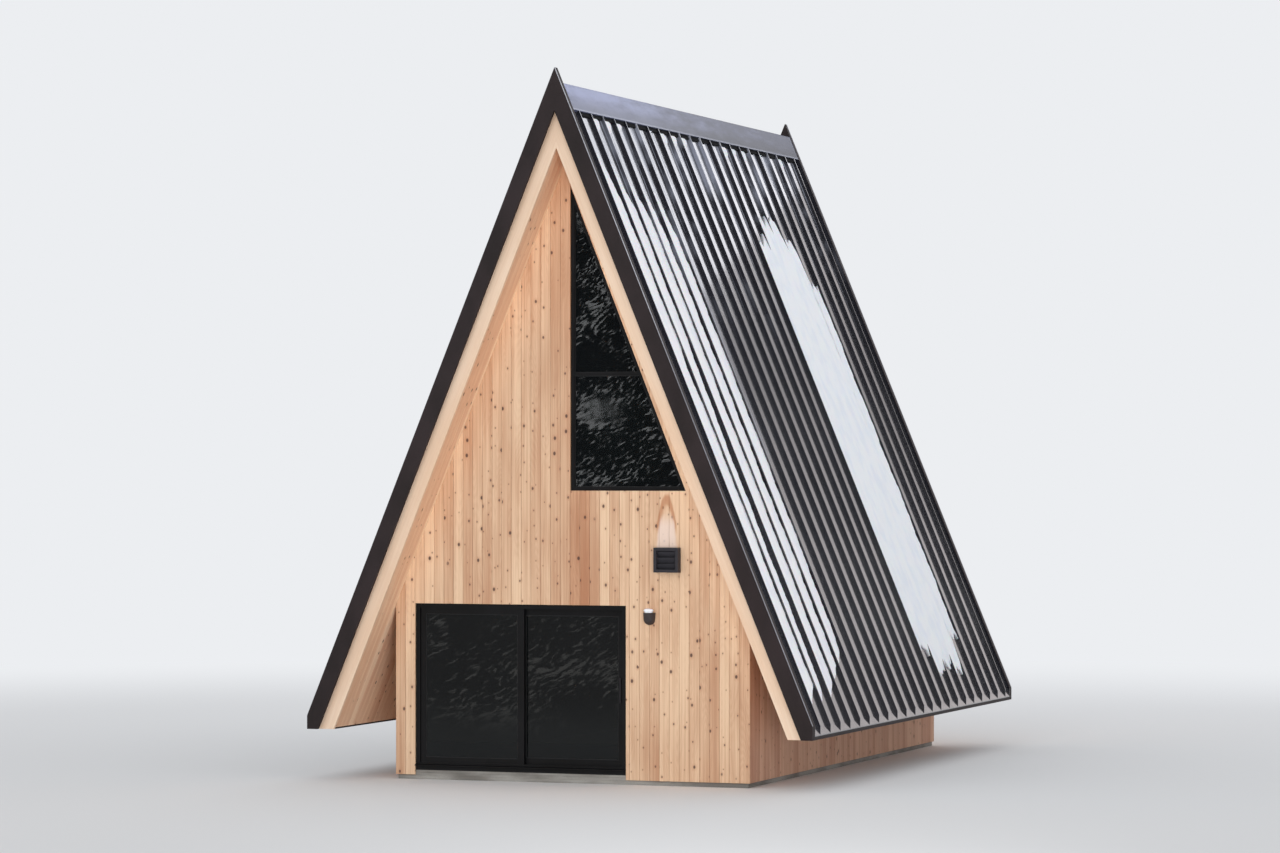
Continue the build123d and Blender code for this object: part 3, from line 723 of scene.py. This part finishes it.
# Behind each box a broad larch board runs up the rake to a plumb mitre at the ridge. It is planed and oiled,
# paler than the wall, and its grain follows the slope.
ONE_BOARD = 0.9          # broader than the rake board, so that it shows no joint
rake_larch = Finish("rake_larch")
timber(rake_larch, towards(rake_larch, OUT) + rake_larch.y * 3, towards(rake_larch, DOWN), ONE_BOARD,
       paint(246, 222, 198), paint(228, 194, 164), knots=0.0, contrast=0.7)
dress(rake_larch, "rake_board_left", "rake_board_right")


# The door is a slider of black aluminium in a frame of four bars. The left-hand leaf is fixed in the outer
# track and the right-hand leaf runs behind it on two rollers. Beads of black rubber hold the glass.
black = Finish("black_aluminium", IOR=1.5, Specular_IOR_Level=0.2)
powder = black.grain(300, 1.0)
smear = black.noise(black.x * 3, black.y * 3, black.z * 2)
black.feed("Base Color", black.mix(paint(8, 8, 9), paint(15, 15, 17), smear.rise(0.3, 0.7)))
black.feed("Roughness", 0.42 + smear * 0.15)
black.relief(powder, 0.0004)
dress(black, "door_head", "door_jambs", "door_threshold", "fixed_door_frame", "sliding_door_frame",
      "front_window_frame", "back_window_frame", "back_lower_window_frame")
satin = Finish("satin_fittings", Metallic=0.6, IOR=1.5)
brushed = satin.noise(satin.x * 40, satin.y * 40, satin.z * 400, 1.0)
satin.feed("Base Color", satin.mix(paint(34, 33, 36), paint(58, 56, 60), brushed))
satin.feed("Roughness", 0.3 + brushed * 0.15)
dress(satin, "sliding_door_handles")
rubber = Finish("black_rubber")
worn = rubber.grain(30)
rubber.feed("Base Color", rubber.mix(paint(20, 20, 21), paint(36, 36, 37), worn))
rubber.feed("Roughness", 0.65 + worn * 0.2)
rubber.relief(worn, 0.0005)
dress(rubber, "door_stop")

glass = Finish("tinted_glass", Transmission_Weight=0.85, IOR=1.33)
film = glass.grain(1.2)
glass.feed("Base Color", glass.mix(paint(38, 44, 46), paint(52, 58, 60), film))
glass.feed("Roughness", film.rise(0.5, 0.9) * 0.04)
dress(glass, "fixed_door_glass", "sliding_door_glass", "front_window_glass", "back_window_glass",
      "back_lower_window_glass")

BEAD_W = 0.007
BEAD_T = 0.004


def bead(name, low, high, body, *cuts):
    """A rubber bead on one face of a pane: a thin plate of the pane's outline, with its middle taken out."""
    ring = block(name, low, high)
    for point, outward in cuts:
        saw(ring, point, outward)
    pick_out(ring, "FACE", lambda face: abs(face.normal.y) > 0.9)
    bpy.ops.mesh.inset(thickness=BEAD_W, use_individual=True)
    bpy.ops.mesh.bridge_edge_loops()
    close()
    fit(ring, rubber, "rubber", body=body)


for name, body in (("fixed_door_glass", "house"), ("sliding_door_glass", "sliding_door"),
                   ("back_lower_window_glass", "house")):
    low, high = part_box(name)
    for face, y in (("out", low.y - BEAD_T), ("in", high.y)):
        bead(f"{name}_bead_{face}", (low.x, y, low.z), (high.x, y + BEAD_T, high.z), body)


# Each gable window is a tall right triangle in one black frame, with a bar across it and two panes.
# The panes' slanted edge follows the frame, and they are beaded like the door.
TRANSOM = 5.255
BAR = 0.0225
for end in ("front", "back"):
    low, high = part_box(f"{end}_window_glass")
    slant = ((high.x, 0, low.z), (high.z - low.z, 0, high.x - low.x))
    for face, y in (("out", low.y - BEAD_T), ("in", high.y)):
        for pane, foot, head in (("lower", low.z, TRANSOM - BAR), ("upper", TRANSOM + BAR, high.z)):
            bead(f"{end}_{pane}_bead_{face}", (low.x, y, foot), (high.x, y + BEAD_T, head), "house", slant)


# The vent hood is a short square duct of dark steel with a rim and three slanted blades. The lamp is a cup of
# cast aluminium on the wall, open at the foot; a cushion of snow sits on its flat top.
RIM_BACK = -4.37         # the rim lies in front of this, and the blades behind it have greyed
hood = Finish("vent_steel", IOR=1.5, Specular_IOR_Level=0.2)
soot = hood.grain(12)
inner = hood.y.rise(RIM_BACK, RIM_BACK + 0.01)
tone = hood.mix(paint(20, 18, 20), paint(58, 57, 62), inner)
hood.feed("Base Color", hood.dim(tone, 0.8 + soot * 0.4))
hood.feed("Roughness", 0.5 + soot * 0.3)
hood.relief(soot, 0.001)
dress(hood, "vent_hood")
cup = Finish("lamp_cup", IOR=1.5)
chalk = cup.grain(25)
cup.feed("Base Color", cup.mix(paint(44, 36, 36), paint(62, 54, 53), chalk))
cup.feed("Roughness", 0.35 + chalk * 0.2)
cup.relief(chalk, 0.0005)
dress(cup, "wall_lamp")

MOUND_H = 0.06           # before its rounding
MOUND_FOOT = 0.012       # what lies lower is spread flat on the lamp
MOUND_SPREAD = 1.15
SIDE_GAP, FRONT_GAP, WALL_GAP = 0.004, 0.003, 0.001      # from the lamp's edges and the wall
lamp_low, lamp_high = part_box("wall_lamp")
mound = block("lamp_snow", (lamp_low.x + SIDE_GAP, lamp_low.y + FRONT_GAP, lamp_high.z),
              (lamp_high.x - SIDE_GAP, lamp_high.y - WALL_GAP, lamp_high.z + MOUND_H))
work(mound, "SUBSURF", levels=3, render_levels=3)
pick_out(mound, "VERT", lambda corner: corner.co.z < lamp_high.z + MOUND_FOOT)
bpy.ops.transform.resize(value=(MOUND_SPREAD, MOUND_SPREAD, 0.0), center_override=(
    (lamp_low.x + lamp_high.x) / 2, lamp_high.y - WALL_GAP, lamp_high.z))
close()
bpy.ops.object.shade_smooth()
mound.data.materials.append(snow_white.material)
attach(mound, "house")


# The studio is a pale floor that runs out into the backdrop, with soft light from all round. A key light
# shines from the front, a low lamp on the right lights the soffit, and the steel mirrors a long lamp high
# behind the house.
BACKDROP = paint(236, 238, 241)
FLOOR_SIZE = 600.0
FLOOR_NEAR, FLOOR_FAR = 14.0, 30.0       # the floor turns into the backdrop between them
bpy.ops.object.select_all(action="DESELECT")
bpy.ops.mesh.primitive_plane_add(size=FLOOR_SIZE)
floor = bpy.context.object
floor.name = "studio_floor"
pale = Finish("studio_floor", Roughness=1.0, Specular_IOR_Level=0.0)
pale.shader.inputs["Base Color"].default_value = paint(232, 232, 232)
away = pale.node("ShaderNodeVectorMath", {"operation": "LENGTH"}, {0: pale.node(
    "ShaderNodeCombineXYZ", {}, {"X": pale.x, "Y": pale.y})}, "Value")
glow = pale.node("ShaderNodeEmission", {}, {"Color": BACKDROP, "Strength": 1.0})
both = pale.node("ShaderNodeMixShader", {}, {0: away.rise(FLOOR_NEAR, FLOOR_FAR)})
both_node = both.socket.node
pale.tree.links.new(pale.shader.outputs[0], both_node.inputs[1])
pale.tree.links.new(glow.socket, both_node.inputs[2])
pale.tree.links.new(both.socket, pale.tree.nodes["Material Output"].inputs["Surface"])
floor.data.materials.append(pale.material)

world = bpy.data.worlds.new("studio")
world.use_nodes = True
bpy.context.scene.world = world
room = Recipe(world.node_tree)
AROUND = 0.86            # strength of the light from all round
camera_ray, glossy_ray, through_ray = [
    room.node("ShaderNodeLightPath", {}, {}, f"Is {kind} Ray")
    for kind in ("Camera", "Glossy", "Transmission")]
seen = camera_ray.most(glossy_ray).most(through_ray)
backdrop = world.node_tree.nodes["Background"]
backdrop.inputs["Color"].default_value = BACKDROP
world.node_tree.links.new((seen * (1 - AROUND) + AROUND).socket, backdrop.inputs["Strength"])

# A ring of dark cloth stands far round the studio, out of the camera's sight. Upright glass mirrors it with
# its broken bright strokes, and the lower part of the roof its haze. A low screen does the same for the door.
RING_R, RING_H = 150.0, 62.0
CLOTH_BLACK = paint(20, 21, 22)
bpy.ops.object.select_all(action="DESELECT")
bpy.ops.mesh.primitive_cylinder_add(vertices=64, radius=RING_R, depth=RING_H, end_fill_type="NOTHING",
                                    location=(0, 0, RING_H / 2 - 1))
ring = bpy.context.object
ring.name = "dark_cloth"
ring.visible_camera = ring.visible_diffuse = ring.visible_shadow = False
cloth = Finish("dark_cloth", Roughness=1.0, Specular_IOR_Level=0.0, Emission_Strength=5.5)


def strokes(finish, along, up, stretch, finest):
    """Short bright strokes that mostly lean one way, in clumps."""
    rising, falling = along + up * 0.6, along * 0.6 - up
    bend = finish.noise(along * stretch * 0.3, up * stretch * 0.3, 0) * 3
    mark = finish.noise(rising * stretch + bend, falling * finest + bend * 2, 0, 2.0, 0.6)
    clump = finish.noise(along * stretch * 0.2, up * stretch * 0.3, 3, 2.0)
    return (mark + (clump - 0.5) * 0.6).rise(0.54, 0.68)


light = strokes(cloth, cloth.x - cloth.y, cloth.z, 1.8, 6.5) * cloth.z.rise(16, 4) * cloth.y.rise(-20, -80)
haze = cloth.noise(cloth.x * 0.04, cloth.z * 0.05, 0, 1.0).rise(0.25, 0.7) * cloth.z.rise(50, 32)
cloth.shader.inputs["Base Color"].default_value = CLOTH_BLACK
shown = cloth.mix(paint(27, 27, 29), paint(120, 116, 116), haze * cloth.y.rise(40, 100))
cloth.feed("Emission Color", cloth.mix(shown, paint(232, 234, 235), light))
ring.data.materials.append(cloth.material)

SCREEN_Y, SCREEN_W, SCREEN_H = -11.0, 40.0, 2.7
screen = block("low_cloth", (-SCREEN_W / 2, SCREEN_Y - 0.02, 0.0), (SCREEN_W / 2, SCREEN_Y, SCREEN_H))
screen.visible_camera = screen.visible_diffuse = screen.visible_shadow = False
low_cloth = Finish("low_cloth", Roughness=1.0, Specular_IOR_Level=0.0, Emission_Strength=2.2)
light = strokes(low_cloth, low_cloth.x, low_cloth.z, 5, 18)
low_cloth.shader.inputs["Base Color"].default_value = CLOTH_BLACK
shown = low_cloth.mix(paint(126, 123, 122), paint(224, 222, 218), light)
low_cloth.feed("Emission Color", low_cloth.mix(shown, paint(150, 150, 150), low_cloth.z.rise(0.8, 0)))
screen.data.materials.append(low_cloth.material)


def lamp(name, kind, stand, target, **settings):
    data = bpy.data.lights.new(name, kind)
    for setting, value in settings.items():
        setattr(data, setting, value)
    made = bpy.data.objects.new(name, data)
    bpy.context.scene.collection.objects.link(made)
    made.location = stand
    made.rotation_euler = (Vector(target) - Vector(stand)).to_track_quat("-Z", "Y").to_euler()
    made.visible_camera = False
    return made


lamp("key", "SUN", (-9, -42, 15), (0, 0, 3), energy=0.53, angle=0.9)
low = lamp("low", "AREA", (8, -17, 1.1), (-1, -4.5, 4), shape="RECTANGLE", size=6, size_y=2,
           spread=1.4, energy=131)
low.visible_glossy = False
BEHIND_W, BEHIND_H, BEHIND_GLOW = 34.0, 7.4, 1.8
lamp("behind", "AREA", (0, 32, 19.6), (0, 0, 8), shape="RECTANGLE", size=BEHIND_W, size_y=BEHIND_H,
     energy=BEHIND_GLOW * BEHIND_W * BEHIND_H * math.pi, color=(0.9, 0.925, 1.0))


# The camera stands level and far off, a little to the right of the front, so that the right slope shows.
CAMERA_AT = (19.068, -54.288, 4.135)
CAMERA_TURN = math.atan2(0.3404, 0.9403)
camera_data = bpy.data.cameras.new("camera")
camera = bpy.data.objects.new("camera", camera_data)
bpy.context.scene.collection.objects.link(camera)
bpy.context.scene.camera = camera
camera.location = CAMERA_AT
camera.rotation_euler = (math.pi / 2, 0, CAMERA_TURN)
camera_data.lens = 117.25
camera_data.shift_y = 0.0273
camera_data.clip_end = 1000
bpy.context.scene.view_settings.view_transform = "Standard"
